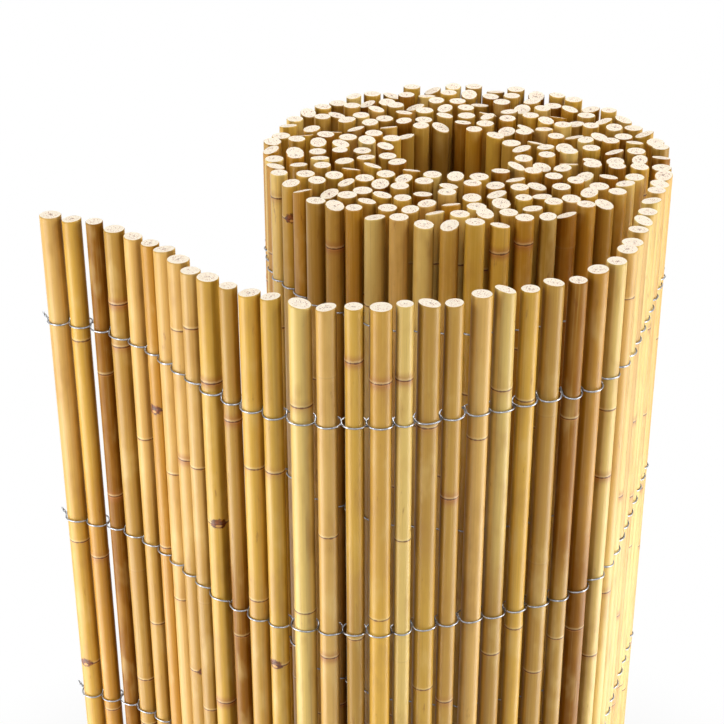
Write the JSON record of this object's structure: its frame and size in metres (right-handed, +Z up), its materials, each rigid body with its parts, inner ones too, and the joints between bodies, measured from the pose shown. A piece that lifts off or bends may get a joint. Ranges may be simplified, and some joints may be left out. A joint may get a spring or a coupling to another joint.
{
  "type": "bamboo fence panel",
  "caption": "Fence panel of upright bamboo canes bound side by side with rows of wire, rolled up on end with its outer end loose; it unrolls along a fence line as a screen.",
  "frame": {"origin": "on the floor, under the middle of the panel's box", "axes": "+Z up along the canes, +X to the right and +Y away, as seen from in front of the loose end"},
  "size_m": [0.5622, 0.518, 1],
  "materials": {
    "bamboo": "natural satin skin from straw to honey, pale sawn ends",
    "wire": "bright galvanised"
  },
  "bodies": {
    "root": {"tail_cane_01": "bamboo", "tail_cane_02": "bamboo", "tail_cane_03": "bamboo", "tail_cane_04": "bamboo", "tail_cane_05": "bamboo", "tail_cane_06": "bamboo", "tail_cane_07": "bamboo", "tail_cane_08": "bamboo", "tail_cane_09": "bamboo", "tail_cane_10": "bamboo", "tail_cane_11": "bamboo", "tail_cane_12": "bamboo", "tail_cane_13": "bamboo", "tail_cane_14": "bamboo", "tail_cane_15": "bamboo", "tail_cane_16": "bamboo", "tail_cane_17": "bamboo", "tail_cane_18": "bamboo", "tail_cane_19": "bamboo", "tail_cane_20": "bamboo", "tail_cane_21": "bamboo", "tail_cane_22": "bamboo", "tail_cane_23": "bamboo", "tail_cane_24": "bamboo", "tail_cane_25": "bamboo", "tail_cane_26": "bamboo", "tail_cane_27": "bamboo", "tail_cane_28": "bamboo", "tail_cane_29": "bamboo", "tail_cane_30": "bamboo", "tail_cane_31": "bamboo", "tail_cane_32": "bamboo", "tail_cane_33": "bamboo", "tail_cane_34": "bamboo", "tail_cane_35": "bamboo", "tail_cane_36": "bamboo", "turn_1_canes": "bamboo", "turn_2_canes": "bamboo", "turn_3_canes": "bamboo", "turn_4_canes": "bamboo", "turn_5_canes": "bamboo", "turn_6_canes": "bamboo", "turn_7_canes": "bamboo", "wire_row_1": "wire", "wire_row_2": "wire", "wire_row_3": "wire", "wire_row_4": "wire", "wire_row_5": "wire"}
  },
  "joints": []
}
